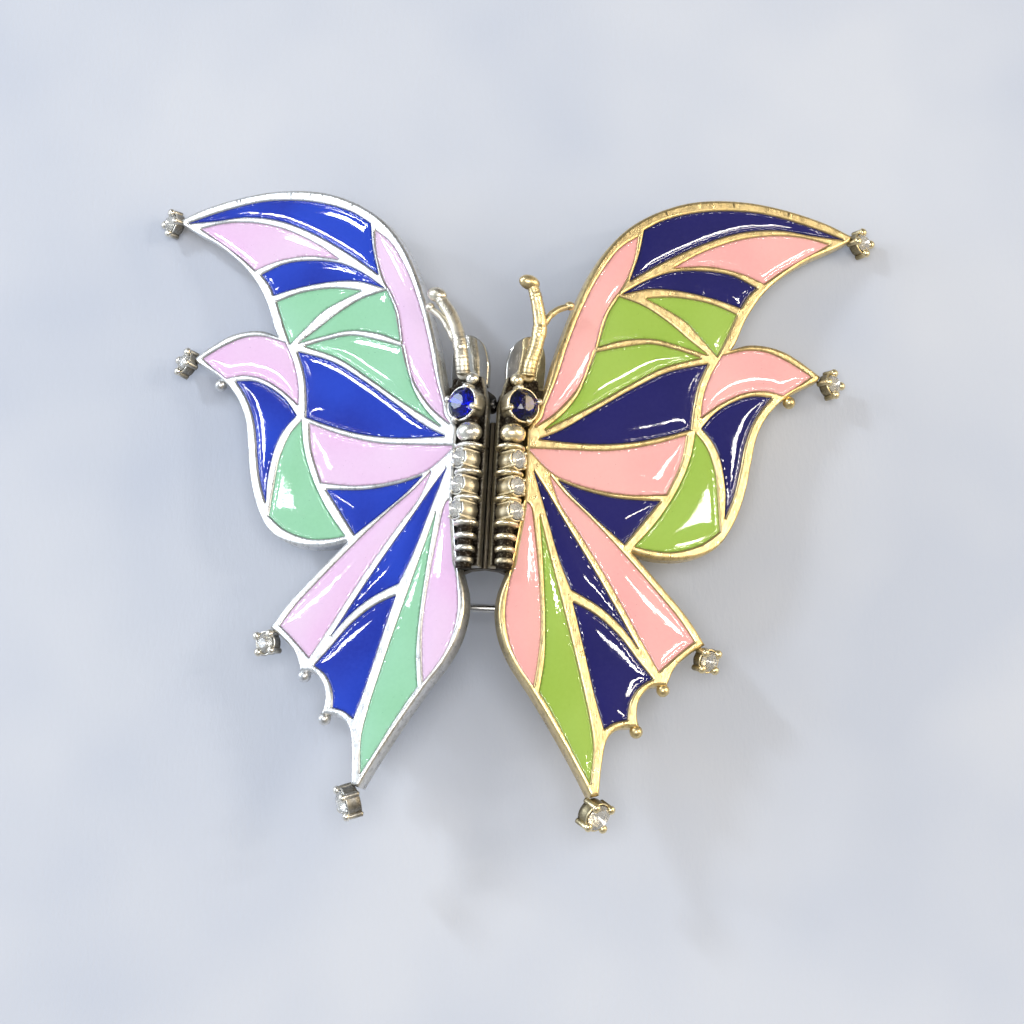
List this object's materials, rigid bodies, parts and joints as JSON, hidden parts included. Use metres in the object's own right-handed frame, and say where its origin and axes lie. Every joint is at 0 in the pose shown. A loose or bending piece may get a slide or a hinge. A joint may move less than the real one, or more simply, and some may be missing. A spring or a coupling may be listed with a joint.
{
  "type": "brooch",
  "caption": "Butterfly brooch in two enamelled dress-clip halves on one pin frame, with set stones, forked antennae, sprung clip levers and a roll-over catch.",
  "frame": {"origin": "middle of the footprint, at the height of the lowest point of the leaning wing tips", "axes": "+X towards the right wing as seen from the front, +Y towards the head, +Z out of the front face"},
  "size_m": [0.0826, 0.072, 0.0181],
  "materials": {
    "cast_metal": "rhodium-plated white metal, antiqued in the recesses",
    "enamel_blue": "glossy enamel",
    "enamel_pink": "glossy enamel",
    "enamel_green": "glossy enamel",
    "clear_stone": "foil-backed cut glass",
    "blue_stone": "foil-backed cut glass",
    "lever_metal": "polished",
    "frame_metal": "polished, lightly scratched",
    "steel_pin": "drawn wire",
    "spring_wire": "phosphor bronze wire"
  },
  "bodies": {
    "frame": {"frame_plate": "frame_metal", "pin_joint": "frame_metal", "pin_rivet": "steel_pin", "catch_housing": "frame_metal"},
    "pin": {"pin_stem": "steel_pin"},
    "roller": {"catch_roller": "frame_metal"},
    "left_clip": {"left_wing_casting": "cast_metal", "left_enamel_blue": "enamel_blue", "left_enamel_pink": "enamel_pink", "left_enamel_green": "enamel_green", "left_body_casting": "cast_metal", "left_body_settings": "cast_metal", "left_body_stones": "clear_stone", "left_eye_collet": "cast_metal", "left_eye_stone": "blue_stone", "left_antenna": "cast_metal", "left_tip_settings": "cast_metal", "left_tip_stones": "clear_stone", "left_hinge_bracket": "frame_metal", "left_hinge_pin": "steel_pin", "left_lever_spring": "spring_wire"},
    "left_clip_lever": {"left_lever": "lever_metal"},
    "right_clip": {"right_wing_casting": "cast_metal", "right_enamel_blue": "enamel_blue", "right_enamel_pink": "enamel_pink", "right_enamel_green": "enamel_green", "right_body_casting": "cast_metal", "right_body_settings": "cast_metal", "right_body_stones": "clear_stone", "right_eye_collet": "cast_metal", "right_eye_stone": "blue_stone", "right_antenna": "cast_metal", "right_tip_settings": "cast_metal", "right_tip_stones": "clear_stone", "right_hinge_bracket": "frame_metal", "right_hinge_pin": "steel_pin", "right_lever_spring": "spring_wire"},
    "right_clip_lever": {"right_lever": "lever_metal"}
  },
  "joints": [
    {"name": "left_clip_slide", "type": "slide", "parent": "frame", "child": "left_clip", "axis": [0, 1, 0], "range_m": [0, 0.016]},
    {"name": "right_clip_slide", "type": "slide", "parent": "frame", "child": "right_clip", "axis": [0, 1, 0], "range_m": [0, 0.016]},
    {"name": "left_lever_hinge", "type": "hinge", "parent": "left_clip", "child": "left_clip_lever", "pos_m": [-0.00265, 0.00997, 0.01065], "axis": [0.9397, 0, 0.342], "range_deg": [0, 15], "stiffness_Nm_per_rad": 0.002, "springref_deg": -17.19, "deforming": ["left_lever_spring"]},
    {"name": "right_lever_hinge", "type": "hinge", "parent": "right_clip", "child": "right_clip_lever", "pos_m": [0.00265, 0.00997, 0.01065], "axis": [0.9397, 0, -0.342], "range_deg": [0, 15], "stiffness_Nm_per_rad": 0.002, "springref_deg": -17.19, "deforming": ["right_lever_spring"]},
    {"name": "pin_hinge", "type": "hinge", "parent": "frame", "child": "pin", "pos_m": [-0.0115, -0.01153, 0.00632], "axis": [0, 1, 0], "range_deg": [0, 75]},
    {"name": "catch_roll", "type": "hinge", "parent": "frame", "child": "roller", "pos_m": [0.0115, -0.01153, 0.00632], "axis": [1, 0, 0], "range_deg": [0, 150]}
  ]
}
